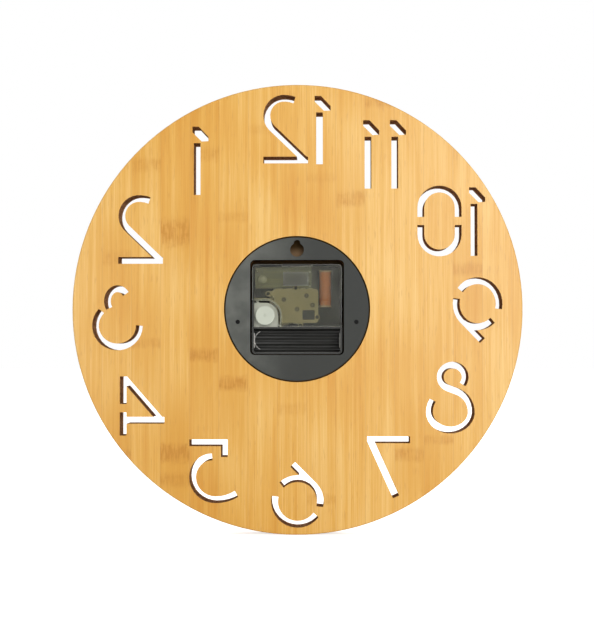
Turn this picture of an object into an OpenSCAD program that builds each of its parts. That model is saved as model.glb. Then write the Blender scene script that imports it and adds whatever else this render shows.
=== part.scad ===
// Bamboo wall clock with stencil-cut numerals and a battery movement let into its back.
// The frame: +X right and +Z up as seen from the dial side, +Y towards the wall.
// The origin is the hands' axis where it meets the plane of the board's back face.
// The board's thickness and the plate's and the movement's sizes follow from what they hold:
// with the values below the board is 19 mm thick and the movement 56 mm square and 15.6 mm deep.

/* [Board] */
// Diameter of the round bamboo board
board_d = 280; // [240:1:340]
// Bamboo left in front of the movement
skin_t = 2.2; // [1.5:0.1:3]
// Thickness of the rubber washer between the bamboo and the movement
rubber_t = 0.8; // [0.5:0.1:1.5]
// Chamfer on both rims of the board
board_chamfer = 0.6; // [0.2:0.1:1.5]
// Depth of the shallow recess that takes the back plate
recess_depth = 7; // [5:0.5:9]
// Gap between the back plate and the recess's wall
plate_gap = 0.9; // [0.3:0.1:1.5]

/* [Numerals] */
// Height of a numeral, on the middle lines of its strokes
numeral_h = 40; // [30:0.5:44]
// Width of the cut strokes
slot_w = 4.2; // [3:0.1:5]

/* [Back plate] */
// Least width of the plate outside the corners of the movement's window
plate_rim = 3.55; // [3:0.05:6]
// Thickness of the plate's sheet
plate_t = 2; // [1.5:0.1:3]
// Thickness of the skirts under the sheet
skirt_t = 1.2; // [0.8:0.1:1.6]
// How far the plate and the movement lie below the board's back face
inset = 0.4; // [0.2:0.1:1]
// Clear gap between the movement and the plate's window, at each side
side_gap = 1.2; // [0.6:0.1:1.6]
// Clear gap above the movement
top_gap = 2.6; // [1:0.1:3]
// Clear gap under the movement
bottom_gap = 0.6; // [0.3:0.1:1]
// Diameter of the keyhole's round part
keyhole_d = 8.6; // [7:0.1:9]
// Plate left between the window and the keyhole
keyhole_land = 2; // [1.5:0.1:2.5]
// Width of the keyhole's slot
keyhole_slot_w = 3.9; // [3:0.1:4.5]
// Rise of the slot's round end above the keyhole's round part
keyhole_rise = 4.2; // [3:0.1:4.4]
// Height of the plate screws above the hands' axis
plate_screw_z = -8; // [-12:0.5:12]

/* [Movement] */
// Height of the battery bay, clear between its walls
bay_h = 15; // [14.8:0.1:16]
// Room for the wheels between the hands' axis and the battery bay
train_room = 11.2; // [11:0.1:13]
// Corner radius of the movement
corner_r = 2.5; // [1.5:0.1:4]
// Thickness of the case's dial-side wall
wall_t = 1.2; // [1.2:0.1:1.4]
// Thickness of the case's side walls
side_t = 1; // [0.8:0.1:1.2]
// Thickness of the clear cover
cover_t = 1.2; // [0.8:0.1:1.4]
// Free space between the bridge and the cover
cover_gap = 1.4; // [1.2:0.1:2]

/* [Gear train] */
// Distance of the third and intermediate arbors from the hands' axis
train_l = 10.2; // [10.2:0.1:10.4]
// Distance between the intermediate and rotor arbors
rotor_l = 7; // [7:0.1:7.2]
// Distance of the motion wheel's post from the hands' axis
motion_l = 9.6; // [9.6:0.1:9.8]
// Face width of every wheel and pinion
gear_t = 1; // [0.8:0.1:1.1]
// Free space between two layers of the train
gear_gap = 0.3; // [0.3:0.05:0.4]
// Play between a pivot and its hole, on the radius
play = 0.05; // [0.03:0.01:0.08]

/* [Hands] */
// Length of the hour hand from the axis
hour_l = 58; // [40:1:70]
// Length of the minute hand from the axis
minute_l = 82; // [60:1:90]
// Length of the second hand from the axis
second_l = 88; // [60:1:92]
// Thickness of the sheet that the hands are stamped from
hand_t = 0.5; // [0.3:0.1:0.6]
// Free space between one hand and the next
hand_gap = 1.2; // [1:0.1:1.6]
// Hour shown
shown_hour = 10; // [0:1:11]
// Minute shown
shown_minute = 10; // [0:1:59]
// Second shown
shown_second = 35; // [0:1:59]

/* [Hidden] */
$fn = 64;
// sides of the board's rim
rim_sides = 180;
// overrun of every cut past the face that it leaves
over = 1;
// small gap between pieces that are set in one another
seat = 0.1;

// Teeth
rotor_teeth = 8;
intermediate_teeth = 48;
intermediate_leaves = 12;
second_teeth = 60;
second_leaves = 8;
third_teeth = 60;
third_leaves = 8;
minute_teeth = 64;
minute_leaves = 12;
motion_teeth = 36;
motion_leaves = 10;
hour_teeth = 40;
knob_teeth = 18;
pressure_angle = 20;
wheel_addendum_share = 0.75;
wheel_dedendum_share = 1.25;
pinion_addendum_share = 0.9;
pinion_dedendum_share = 1.15;
// heights on the flank where a tooth has its middle points
flank_low_share = 0.45;
flank_high_share = 0.3;
backlash_share = 0.2;
// the round holes in a wheel's web, in shares of its root radius
web_hub_share = 0.4;
web_rim_share = 0.85;

// One module for each pair that meshes, and the knob's distance from the module of its pair
rotor_m = 2 * rotor_l / (intermediate_teeth + rotor_teeth);
intermediate_m = 2 * train_l / (second_teeth + intermediate_leaves);
second_m = 2 * train_l / (third_teeth + second_leaves);
third_m = 2 * train_l / (minute_teeth + third_leaves);
motion_m = 2 * motion_l / (motion_teeth + minute_leaves);
hour_m = 2 * motion_l / (hour_teeth + motion_leaves);
knob_l = motion_m * (motion_teeth + knob_teeth) / 2;

// Directions from one arbor to the next
third_dir = 36;
intermediate_dir = 125;
rotor_dir = 237;
motion_dir = -20;
knob_dir = -3.6;
centre = [0, 0];
third_p = polar(train_l, third_dir);
intermediate_p = polar(train_l, intermediate_dir);
rotor_p = intermediate_p + polar(rotor_l, rotor_dir);
motion_p = polar(motion_l, motion_dir);
knob_p = motion_p + polar(knob_l, knob_dir);

// Layers of the train, counted from the case's dial-side face
layer_step = gear_t + gear_gap;
hour_s = wall_t + gear_gap;
motion_s = hour_s + layer_step;
minute_s = motion_s + layer_step;
third_s = minute_s + layer_step;
second_s = third_s + layer_step;
intermediate_s = second_s + layer_step;
magnet_s = intermediate_s + gear_t + 2 * gear_gap;
magnet_t = 2;
magnet_gap = 0.4;
bridge_s = magnet_s + magnet_t + magnet_gap;
bridge_t = 1;
rim_s = bridge_s + bridge_t + cover_gap;
movement_d = rim_s + cover_t;

// Knob and the well that it sits in
knob_r = 6.1;
knob_t = 4;
knob_rim = 0.5;
knob_gap = 0.5;
knob_side_gap = 1.1;
knob_dot_r = 0.8;
knob_dot_depth = 0.6;
knob_grips = 30;
knob_grip_r = 0.3;
knob_shaft_r = 1.5;
knob_pivot_r = 0.8;
knob_s = movement_d - knob_rim - knob_t;
well_r = 9.2;
well_t = 0.8;
well_wall_t = 0.8;
well_s = knob_s - knob_gap - well_t;
riser_t = 0.8;
slit_w = 1.2;
slit_web_w = 1.4;
slit_web_t = 0.4;
slit_web_dirs = [60, 135, 215];

// Case: as wide as its knob needs, and as high as its wheels and its battery bay need
bay_wall_t = 0.8;
case_x = knob_p[0] + knob_r + knob_side_gap + side_t;
case_z = train_room + bay_wall_t + bay_h + side_t;
bay_bottom = side_t - case_z;
bay_top = bay_bottom + bay_h;
bay_roof = bay_top + bay_wall_t;
bay_rib_h = 0.4;
bay_rib_w = 2.8;
bay_rib_r = (bay_rib_w * bay_rib_w / 4 + bay_rib_h * bay_rib_h) / (2 * bay_rib_h);
bay_ribs = 4;
clip_w = 18;
clip_h = 1.1;

// Places along Y
board_t = skin_t + rubber_t + movement_d + inset;
case_y = -inset - movement_d;
dial_y = -board_t;

// Back plate and its recess
window_r = 3;
plate_r = norm([case_x + side_gap - window_r, case_z + top_gap - window_r]) + window_r + plate_rim;
recess_r = plate_r + plate_gap;
keyhole_z = case_z + top_gap + keyhole_land + keyhole_d / 2;
plate_screw_x = (case_x + side_gap + plate_r) / 2;
screw_head_r = 1.3;
screw_head_t = 1;
screw_cross_w = 0.4;
screw_cross_l = 1.5;
screw_cross_depth = 0.6;
screw_r = 0.9;
screw_l = 9;
screw_pocket = 1.2;
boss_r = 3;

// Arbors, pipes and pivots
pivot_r = 0.35;
arbor_r = 0.55;
rotor_arbor_r = 0.45;
pivot_depth = 0.7;
second_r = 0.75;
minute_bore_r = second_r + play;
minute_pipe_r = 1.74;
hour_bore_r = minute_pipe_r + play;
hour_pipe_r = 2.54;
bush_bore_r = hour_pipe_r + play;
motion_post_r = 0.6;

// Bush, washers and nut
washer_r = 7;
washer_t = 0.5;
nut_flats = 12;
nut_t = 2.2;
nut_chamfer_angle = 30;
rubber_r = 9;
bush_hole_play = 0.2;
bush_r = 4;
bush_flange_r = 5.5;
bush_flange_t = 0.6;
bush_end = 0.8;
bush_l = rubber_t + skin_t + washer_t + nut_t + bush_end;

// Rotor's magnet, stator and coil
magnet_r = 2.5;
stator_gap = 0.4;
stator_ring_w = 0.8;
stator_arm_w = 2.5;
stator_t = 1;
ring_r = magnet_r + stator_gap + stator_ring_w;
// the stator's foot behind the bridge's window: left, low, right and high, in shares of train_l
stator_foot_shares = [-1.37, -0.74, -0.26, 0.04];
core_w = 2.8;
core_t = 1;
core_play = 0.1;
core_post_r = 1.1;
core_post_inset = 1.2;
bobbin_wall = 0.5;
flange_r = 4;
flange_t = 1;
coil_r = 3.7;
coil_gap = 0.15;
coil_roof = 0.5;
core_side_gap = 0.4;
coil_x = rotor_p[0] - ring_r - coil_gap - flange_r;
coil_s = rim_s - coil_roof - flange_r;
core_s = coil_s - core_t / 2;
core_low = rotor_p[1] - ring_r - seat;
core_high = case_z - side_t - core_side_gap;
coil_low = core_low + stator_arm_w + seat;
coil_l = core_high - stator_arm_w - seat - coil_low;
bobbin_r = norm([core_w / 2 + core_play, core_t / 2 + core_play]) + bobbin_wall;

// Bridge, its outline and posts in shares of train_l
post_r = 1;
bridge_r = 2;
bridge_pin_r = 0.6;
pivot_boss_r = 1.6;
pivot_boss_h = 0.3;
oil_cup_r = 1;
oil_cup_depth = 0.4;
bridge_lobe_r = 1.6;
bridge_window_r = 0.6;
bridge_box_shares = [-1.29, -0.84, 1.43, 1.24];
bridge_window_shares = [-1.08, -0.65, -0.33, -0.06];
bridge_post_shares = [[0.08, 1.3], [1.78, 0.94], [-1.23, -0.49]];
low_post_share = -0.2;
bridge_posts = concat(bridge_post_shares * train_l, [[low_post_share * train_l, post_r - train_room]]);
bridge_right = bridge_box_shares[2] * train_l;
bridge_low = bridge_box_shares[1] * train_l;
bridge_high = bridge_box_shares[3] * train_l;

// Circuit board and what it carries
part_gap = 0.2;
crystal_r = 1.4;
crystal_l = 6;
crystal_inset = 1.2;
crystal_place_share = 0.36;
crystal_lead_r = 0.2;
crystal_lead_l = 2;
chip_ball_r = 4.4;
chip_h = 1.1;
chip_place_shares = [0.87, 0.42];
pcb_t = 0.8;
pcb_gap = 0.6;
pcb_side_gap = 0.8;
pcb_post_gap = 0.3;
pcb_post_r = 1.2;
pcb_post_inset = 1.8;
pcb_s = rim_s - part_gap - 2 * crystal_r - pcb_t;
pcb_left = rotor_p[0] + pcb_gap;
pcb_right = case_x - side_t - pcb_side_gap;
pcb_low = bridge_high + pcb_post_gap;
pcb_high = case_z - side_t - pcb_gap;

// Contacts of the battery bay
contact_t = 0.4;
contact_w = 9;
contact_gap = 0.2;
contact_bump_r = 2.5;
contact_bump_top_r = 1.8;
contact_bump_h = 0.5;
leaf_t = 0.3;
leaf_h = 7;
leaf_r = 6.4;
leaf_half_angle = 63;
contact_x = case_x - side_t - contact_gap - contact_t;
contact_s = wall_t + bay_rib_h + contact_gap;
contact_h = movement_d - contact_s - inset;
bay_mid = (bay_bottom + bay_top) / 2;

// Hands
hub_r = 5;
minute_hub_r = 4;
second_hub_r = 3;
hour_tip_w = 3.2;
hour_root_w = 6;
minute_tip_w = 2.4;
minute_root_w = 5;
second_tip_w = 0.8;
second_root_w = 1.6;
second_tail_l = 24;
second_tail_w = 4;
cap_t = 0.9;
cap_r = 2.4;
hand_step = hand_gap + hand_t;
hour_hand_y = case_y - bush_l - hand_step;
minute_hand_y = hour_hand_y - hand_step;
second_hand_y = minute_hand_y - hand_step;
hour_pipe_l = case_y - hour_hand_y + seat;
minute_pipe_l = case_y - minute_hand_y + seat;
second_shaft_l = case_y - second_hand_y + seat;

// Numeral strokes, drawn as middle lines in shares of the numeral height.
// An egg is an arc with its own radius to the left, up, right and down.
arc_step = 12;
function polar(r, a) = r * [cos(a), sin(a)];
function egg(c, l, u, r, d, from, to) =
    let (n = ceil(abs(to - from) / arc_step))
    [for (i = [0:n])
        let (a = from + (to - from) * i / n)
        c + [(cos(a) < 0 ? l : r) * cos(a), (sin(a) < 0 ? d : u) * sin(a)]];
function six_shares(x, z) = [
    concat([[0.073, 0.573]], egg([0, 0], x, z, x, z, 135, 193)),
    egg([0, 0], x, z, x, z, 125, 46),
    egg([0, 0], x, z, x, z, 13, -144)];

one_shares = [[[0, 0], [0, 0.81]]];
flag_shares = [[0.075, 1.068], [-0.025, 1.068], [-0.175, 0.908],
    [-0.175, 0.84], [-0.07, 0.835], [0.075, 0.98]];
two_shares = [
    concat(egg([0.375, 0.695], 0.35, 0.272, 0.268, 0.272, 118, -43), [[0.043, 0]]),
    [[0, 0], [0.698, 0]]];
three_shares = [
    egg([0, 0.38], 0.158, 0.195, 0.158, 0.195, 145, -35),
    egg([0, 0], 0.343, 0.333, 0.343, 0.333, 43, -180)];
four_shares = [
    [[0, 0.253], [0, 0.68]],
    [[0, -0.238], [0, 0.123]],
    [[-0.643, 0], [0, 0]],
    [[-0.015, 0.653], [-0.585, 0]]];
five_shares = [
    [[-0.188, 0.533], [0.408, 0.533]],
    [[-0.135, 0.533], [-0.135, 0.313]],
    concat(egg([0.053, 0], 0, 0.315, 0.305, 0, 90, 0),
        egg([0, 0], 0.475, 0, 0.358, 0.35, -arc_step, -133))];
seven_shares = [[[-0.618, 0], [0.048, 0]], [[0, 0], [-0.4, -0.883]]];
eight_shares = [
    concat(egg([-0.038, 0.543], 0.193, 0.185, 0.193, 0.185, 218, -65),
        egg([0, 0], 0.325, 0.338, 0.325, 0.278, 115, 393))];
zero_shares = [for (s = [1, -1])
    concat([[-0.29, 0.063 * s]],
        egg([0, 0.208 * s], 0.29, 0.29, 0.29, 0.29, 180 * s, 0),
        [[0.29, 0.063 * s]])];

// Middle of each drawing, which lies on the figure's place
one_middle_share = [0, 0.53];
two_middle_share = [0.35, 0.48];
three_middle_share = [0, 0.12];
four_middle_share = [-0.32, 0.22];
five_middle_share = [0, 0.09];
six_middle_share = [0, 0.11];
seven_middle_share = [-0.29, -0.44];
eight_middle_share = [0, 0.22];
zero_middle_share = [0, 0];

// Places of the figures on the board, in shares of its radius
one_place_shares = [[0.445, 0.66], [-0.786, 0.387], [-0.316, 0.687], [-0.435, 0.687], [-0.1, 0.796]];
two_place_shares = [[0.697, 0.354], [0.051, 0.801]];
three_place_share = [0.799, -0.039];
four_place_share = [0.681, -0.431];
five_place_share = [0.361, -0.72];
six_place_share = [-0.002, -0.821];
seven_place_share = [-0.407, -0.705];
eight_place_share = [-0.679, -0.394];
nine_place_share = [-0.801, -0.008];
zero_place_share = [-0.633, 0.391];

// A flat piece drawn in X and Z, from y to y + t
module slab(y, t) {
    translate([0, y + t, 0]) rotate([90, 0, 0]) linear_extrude(t) children();
}

// A flat piece of the movement, s counted from the case's dial-side face
module layer(s, t) {
    slab(case_y + s, t) children();
}

// A round bar of the movement along Y
module bar(p, s, l, r) {
    translate([p[0], case_y + s + l, p[1]]) rotate([90, 0, 0]) cylinder(h = l, r = r);
}

module box2d(left, low, right, high) {
    translate([left, low]) square([right - left, high - low]);
}

module round_box2d(left, low, right, high, r) {
    box2d(left + r, low, right - r, high);
    box2d(left, low + r, right, high - r);
    for (x = [left + r, right - r], z = [low + r, high - r]) translate([x, z]) circle(r);
}

function unit(v) = v / norm(v);
function side(p, i, w) =
    let (last = len(p) - 1)
    let (before = unit(p[max(i, 1)] - p[max(i, 1) - 1]))
    let (after = unit(p[min(i, last - 1) + 1] - p[min(i, last - 1)]))
    let (along = unit(before + after))
    p[i] + w / (along * before) * [-along[1], along[0]];

// One stroke of a figure, cut square at both ends
module stroke(shares) {
    p = shares * numeral_h;
    last = len(p) - 1;
    w = slot_w / 2;
    polygon(concat([for (i = [0:last]) side(p, i, w)], [for (i = [last:-1:0]) side(p, i, -w)]));
}

module figure_cut(place_share, middle_share, turn = 0) {
    slab(dial_y - over, board_t + 2 * over) translate(place_share * board_d / 2) rotate(turn)
        translate(-middle_share * numeral_h) children();
}

module figure(place_share, middle_share, strokes, turn = 0) {
    for (s = strokes) figure_cut(place_share, middle_share, turn) stroke(s);
}

module numerals() {
    for (p = one_place_shares) {
        figure(p, one_middle_share, one_shares);
        figure_cut(p, one_middle_share) polygon(flag_shares * numeral_h);
    }
    for (p = two_place_shares) figure(p, two_middle_share, two_shares);
    figure(three_place_share, three_middle_share, three_shares);
    figure(four_place_share, four_middle_share, four_shares);
    figure(five_place_share, five_middle_share, five_shares);
    figure(six_place_share, six_middle_share, six_shares(0.356, 0.353));
    figure(seven_place_share, seven_middle_share, seven_shares);
    figure(eight_place_share, eight_middle_share, eight_shares);
    figure(nine_place_share, six_middle_share, six_shares(0.333, 0.358), 180);
    figure(zero_place_share, zero_middle_share, zero_shares);
}

// The movement's well in the board and the plate's window share one outline
module window2d(grow) {
    round_box2d(-case_x - side_gap - grow, -case_z - bottom_gap - grow,
        case_x + side_gap + grow, case_z + top_gap + grow, window_r + grow);
}

module dial_board() color("burlywood") difference() {
    rotate([90, 0, 0]) rotate_extrude($fn = rim_sides) polygon([[0, 0], [board_d / 2 - board_chamfer, 0],
        [board_d / 2, board_chamfer], [board_d / 2, board_t - board_chamfer],
        [board_d / 2 - board_chamfer, board_t], [0, board_t]]);
    slab(-recess_depth, recess_depth + over) circle(recess_r);
    slab(dial_y + skin_t, board_t) window2d(0);
    slab(dial_y - over, board_t) circle(bush_r + bush_hole_play);
    slab(-inset - screw_pocket - screw_l, screw_l) plate_points() circle(screw_r);
    numerals();
}

module plate_points() {
    for (x = [-plate_screw_x, plate_screw_x]) translate([x, plate_screw_z]) children();
}

module keyhole2d() {
    translate([0, keyhole_z]) circle(keyhole_d / 2);
    box2d(-keyhole_slot_w / 2, keyhole_z, keyhole_slot_w / 2, keyhole_z + keyhole_rise);
    translate([0, keyhole_z + keyhole_rise]) circle(keyhole_slot_w / 2);
}

module back_plate() color("dimgray") difference() {
    union() {
        slab(-inset - plate_t, plate_t) circle(plate_r);
        slab(-recess_depth, recess_depth - inset - plate_t) difference() {
            circle(plate_r);
            circle(plate_r - skirt_t);
        }
        slab(-recess_depth, recess_depth - inset - plate_t) window2d(skirt_t);
        slab(-recess_depth, recess_depth - inset - plate_t) plate_points() circle(boss_r);
    }
    slab(-recess_depth - over, recess_depth + over) window2d(0);
    slab(-inset - plate_t - over, plate_t + 2 * over) keyhole2d();
    slab(-recess_depth - over, recess_depth + over) plate_points() circle(screw_r + seat);
    slab(-inset - screw_pocket, screw_pocket + over) plate_points() circle(screw_head_r + seat);
}

module plate_screws() color("black") difference() {
    union() {
        slab(-inset - screw_pocket, screw_head_t) plate_points() circle(screw_head_r);
        slab(-inset - screw_pocket - screw_l, screw_l) plate_points() circle(screw_r);
    }
    slab(-inset - screw_pocket + screw_head_t - screw_cross_depth, screw_cross_depth + over) plate_points() {
        square([screw_cross_w, screw_cross_l], center = true);
        square([screw_cross_l, screw_cross_w], center = true);
    }
}

module outline2d() {
    round_box2d(-case_x, -case_z, case_x, case_z, corner_r);
}

module hollow2d() {
    round_box2d(side_t - case_x, side_t - case_z, case_x - side_t, case_z - side_t, corner_r - side_t);
}

// A round-backed rib along the floor of the battery bay
module bay_rib(z) {
    translate([side_t - case_x, case_y + wall_t + bay_rib_h - bay_rib_r, z]) rotate([0, 90, 0])
        cylinder(h = 2 * (case_x - side_t), r = bay_rib_r);
}

module movement_case() color("black") difference() {
    union() {
        layer(0, wall_t) outline2d();
        layer(0, rim_s) difference() {
            outline2d();
            hollow2d();
        }
        layer(0, movement_d) difference() {
            intersection() {
                outline2d();
                box2d(-case_x, -case_z, case_x, bay_roof);
            }
            intersection() {
                hollow2d();
                box2d(side_t - case_x, bay_bottom, case_x - side_t, bay_top);
            }
        }
        layer(0, movement_d) box2d(seat - clip_w / 2, case_z - side_t, clip_w / 2 - seat, case_z);
        intersection() {
            layer(wall_t, bay_rib_h) box2d(side_t - case_x, bay_bottom, case_x - side_t, bay_top);
            for (i = [1:bay_ribs]) bay_rib(bay_bottom + bay_h * (i - 0.5) / bay_ribs);
        }
        for (p = bridge_posts) bar(p, wall_t, bridge_s - wall_t, post_r);
        for (p = bridge_posts) bar(p, wall_t, bridge_s - wall_t + bridge_t, bridge_pin_r);
        for (x = [pcb_left + pcb_post_inset, pcb_right - pcb_post_inset])
            bar([x, pcb_high - pcb_post_inset], wall_t, pcb_s - wall_t, pcb_post_r);
        for (z = [core_low + core_post_inset, core_high - core_post_inset])
            bar([coil_x, z], wall_t, core_s - wall_t, core_post_r);
        bar(motion_p, wall_t, minute_s - wall_t - gear_gap, motion_post_r);
    }
    bar(centre, -over, wall_t + 2 * over, bush_r + seat);
    bar(centre, wall_t - bush_flange_t, bush_flange_t + over, bush_flange_r + seat);
    for (p = [third_p, intermediate_p, rotor_p])
        bar(p, wall_t - pivot_depth, pivot_depth + over, pivot_r + play);
    bar(knob_p, wall_t - pivot_depth, pivot_depth + over, knob_pivot_r + play);
}

// Outline of the well around the setting knob, which runs out past the case's right and bay sides
module knob_well2d(grow) {
    right = case_x + over;
    low = bay_roof - over;
    translate(knob_p) circle(well_r + grow);
    box2d(knob_p[0] - well_r - grow, low, right, knob_p[1]);
    box2d(knob_p[0], low, right, knob_p[1] + well_r + grow);
}

// Keeps a drawing inside the case's side walls and above the battery bay
module inside_case2d() intersection() {
    children();
    box2d(side_t + seat - case_x, bay_roof + seat, case_x - side_t - seat, case_z - side_t - seat);
}

module clear_cover() color("slategray", 0.4) {
    wall_s = well_s + well_t + seat;
    difference() {
        union() {
            layer(rim_s, cover_t) intersection() {
                outline2d();
                box2d(-case_x, bay_roof + seat, case_x, case_z);
            }
            layer(wall_s, rim_s - wall_s) inside_case2d() knob_well2d(well_wall_t);
        }
        layer(wall_s - over, movement_d) knob_well2d(0);
        layer(rim_s - over, cover_t + 2 * over)
            box2d(-clip_w / 2, case_z - clip_h, clip_w / 2, case_z + over);
    }
}

// A lug runs from the plate to a post that lies outside it
module bridge_lug2d(p) {
    if (p[0] > bridge_right)
        box2d(bridge_right - bridge_r, p[1] - bridge_lobe_r, p[0], p[1] + bridge_lobe_r);
    if (p[1] < bridge_low)
        box2d(p[0] - bridge_lobe_r, p[1], p[0] + bridge_lobe_r, bridge_low + bridge_r);
}

module share_box2d(shares, r) {
    b = shares * train_l;
    round_box2d(b[0], b[1], b[2], b[3], r);
}

module bridge2d() difference() {
    union() {
        share_box2d(bridge_box_shares, bridge_r);
        for (p = bridge_posts) translate(p) circle(bridge_lobe_r);
        for (p = bridge_posts) bridge_lug2d(p);
    }
    share_box2d(bridge_window_shares, bridge_window_r);
    knob_well2d(well_wall_t + seat);
}

// The slit along the edge of the well's floor, and the webs that cross it
module floor_slit2d() difference() {
    knob_well2d(0);
    knob_well2d(-slit_w);
}

module slit_webs2d() {
    for (a = slit_web_dirs) translate(knob_p) rotate(a)
        box2d(0, -slit_web_w / 2, 2 * well_r, slit_web_w / 2);
}

// The bridge drops to a lower floor under the setting knob, inside a riser
module gear_bridge() color("wheat") difference() {
    union() {
        layer(bridge_s, bridge_t) inside_case2d() bridge2d();
        layer(well_s, bridge_s + bridge_t - well_s) inside_case2d() difference() {
            knob_well2d(well_wall_t + seat + riser_t);
            knob_well2d(well_wall_t + seat);
        }
        layer(well_s, well_t) inside_case2d() knob_well2d(well_wall_t + seat + riser_t);
        for (p = [third_p, intermediate_p, rotor_p, centre])
            bar(p, bridge_s, bridge_t + pivot_boss_h, pivot_boss_r);
    }
    for (p = [third_p, intermediate_p, rotor_p, centre])
        bar(p, bridge_s + bridge_t + pivot_boss_h - oil_cup_depth, oil_cup_depth + over, oil_cup_r);
    for (p = [third_p, intermediate_p, rotor_p])
        bar(p, bridge_s - over, bridge_t + 2 * over, pivot_r + play);
    bar(centre, bridge_s - over, bridge_t + 2 * over, second_r + play);
    bar(knob_p, well_s - over, well_t + 2 * over, knob_shaft_r + play);
    layer(well_s + slit_web_t, well_t) floor_slit2d();
    layer(well_s - over, well_t + 2 * over) difference() {
        floor_slit2d();
        slit_webs2d();
    }
    for (p = bridge_posts) bar(p, bridge_s - over, bridge_t + 2 * over, bridge_pin_r);
}

module threaded_bush() color("goldenrod") difference() {
    union() {
        bar(centre, -bush_l, bush_l + wall_t, bush_r);
        bar(centre, wall_t - bush_flange_t, bush_flange_t, bush_flange_r);
    }
    bar(centre, -bush_l - over, bush_l + wall_t + 2 * over, bush_bore_r);
}

module ring(y, t, outer, inner) {
    slab(y, t) difference() {
        circle(outer);
        circle(inner);
    }
}

module rubber_washer() color("black") ring(dial_y + skin_t, rubber_t, rubber_r, bush_r + seat);

module dial_washer() color("silver") ring(dial_y - washer_t, washer_t, washer_r, bush_r + seat);

// The nut's corners are turned off by a cone on the side that shows
module hex_nut() color("silver") intersection() {
    slab(dial_y - washer_t - nut_t, nut_t) difference() {
        circle(nut_flats / 2 / cos(30), $fn = 6);
        circle(bush_r);
    }
    translate([0, dial_y - washer_t, 0]) rotate([90, 0, 0])
        cylinder(h = nut_t, r1 = nut_flats / 2 + nut_t / tan(nut_chamfer_angle), r2 = nut_flats / 2);
}

// Gears. A wheel's tooth 0 points along +X before its phase is added.
function inv(a) = tan(a) * 180 / PI - a;
function tooth_half(n, m, r) =
    let (pitch = n * m / 2)
    let (base = pitch * cos(pressure_angle))
    90 / n - backlash_share * m / pitch * 90 / PI + inv(pressure_angle)
        - (r <= base ? 0 : inv(acos(base / r)));
function gear_points(n, m, add_share, ded_share) =
    let (pitch = n * m / 2)
    let (radii = [pitch - ded_share * m, pitch - ded_share * m * flank_low_share,
        pitch + add_share * m * flank_high_share, pitch + add_share * m])
    [for (i = [0:n - 1], k = [0:7])
        let (r = radii[k < 4 ? k : 7 - k])
        polar(r, 360 * i / n + (k < 4 ? -1 : 1) * tooth_half(n, m, r))];
// Phase of a gear of n teeth that meshes with one of n0 teeth, at direction dir from it
function mesh(n0, phase0, n, dir) = dir + 180 + 180 / n + (dir - phase0) * n0 / n;

module wheel2d(n, m, phase) {
    rotate(phase) polygon(gear_points(n, m, wheel_addendum_share, wheel_dedendum_share));
}

module pinion2d(n, m, phase) {
    rotate(phase) polygon(gear_points(n, m, pinion_addendum_share, pinion_dedendum_share));
}

// Round holes that lighten the web of a wheel of n teeth
module web_holes(count, n, m) {
    root = n * m / 2 - wheel_dedendum_share * m;
    for (i = [0:count - 1]) rotate(360 * i / count)
        translate([root * (web_rim_share + web_hub_share) / 2, 0])
            circle(root * (web_rim_share - web_hub_share) / 2);
}

module arbor(p, r) {
    bar(p, wall_t - pivot_depth + seat, bridge_s + bridge_t - wall_t + pivot_depth - 2 * seat, pivot_r);
    bar(p, hour_s, bridge_s - hour_s - seat, r);
}

module rotor_pinion() color("ivory") {
    phase = mesh(intermediate_teeth, 0, rotor_teeth, rotor_dir);
    layer(intermediate_s, gear_t) translate(rotor_p) pinion2d(rotor_teeth, rotor_m, phase);
    arbor(rotor_p, rotor_arbor_r);
}

module rotor_magnet() color("dimgray") layer(magnet_s, magnet_t) translate(rotor_p) difference() {
    circle(magnet_r);
    circle(rotor_arbor_r);
}

module intermediate_wheel() color("ivory") {
    phase = mesh(second_teeth, 0, intermediate_leaves, intermediate_dir);
    layer(second_s, gear_t) translate(intermediate_p)
        pinion2d(intermediate_leaves, intermediate_m, phase);
    layer(intermediate_s, gear_t) translate(intermediate_p) difference() {
        wheel2d(intermediate_teeth, rotor_m, 0);
        web_holes(4, intermediate_teeth, rotor_m);
    }
    arbor(intermediate_p, arbor_r);
}

module second_wheel() color("ivory") {
    layer(third_s, gear_t) pinion2d(second_leaves, second_m, 0);
    layer(second_s, gear_t) difference() {
        wheel2d(second_teeth, intermediate_m, 0);
        web_holes(4, second_teeth, intermediate_m);
    }
    bar(centre, -second_shaft_l, second_shaft_l + bridge_s + bridge_t - seat, second_r);
}

module third_wheel() color("ivory") {
    phase = mesh(second_leaves, 0, third_teeth, third_dir);
    layer(minute_s, gear_t) translate(third_p) pinion2d(third_leaves, third_m, 0);
    layer(third_s, gear_t) translate(third_p) difference() {
        wheel2d(third_teeth, second_m, phase);
        web_holes(4, third_teeth, second_m);
    }
    arbor(third_p, arbor_r);
}

module minute_wheel() color("ivory") layer(minute_s, gear_t) difference() {
    wheel2d(minute_teeth, third_m, mesh(third_leaves, 0, minute_teeth, third_dir + 180));
    web_holes(4, minute_teeth, third_m);
    circle(minute_pipe_r + play);
}

module cannon_pinion() color("ivory") difference() {
    union() {
        layer(motion_s, gear_t) pinion2d(minute_leaves, motion_m, 0);
        bar(centre, -minute_pipe_l, minute_pipe_l + minute_s + gear_t + gear_gap / 2, minute_pipe_r);
    }
    bar(centre, -minute_pipe_l - over, movement_d + minute_pipe_l, minute_bore_r);
}

motion_phase = mesh(minute_leaves, 0, motion_teeth, motion_dir);
module motion_wheel() color("ivory") difference() {
    union() {
        layer(motion_s, gear_t) translate(motion_p) wheel2d(motion_teeth, motion_m, motion_phase);
        layer(hour_s, layer_step) translate(motion_p) pinion2d(motion_leaves, hour_m, 0);
    }
    layer(motion_s - over, gear_t + 2 * over) translate(motion_p) web_holes(3, motion_teeth, motion_m);
    bar(motion_p, hour_s - over, motion_s + over, motion_post_r + play);
}

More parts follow.
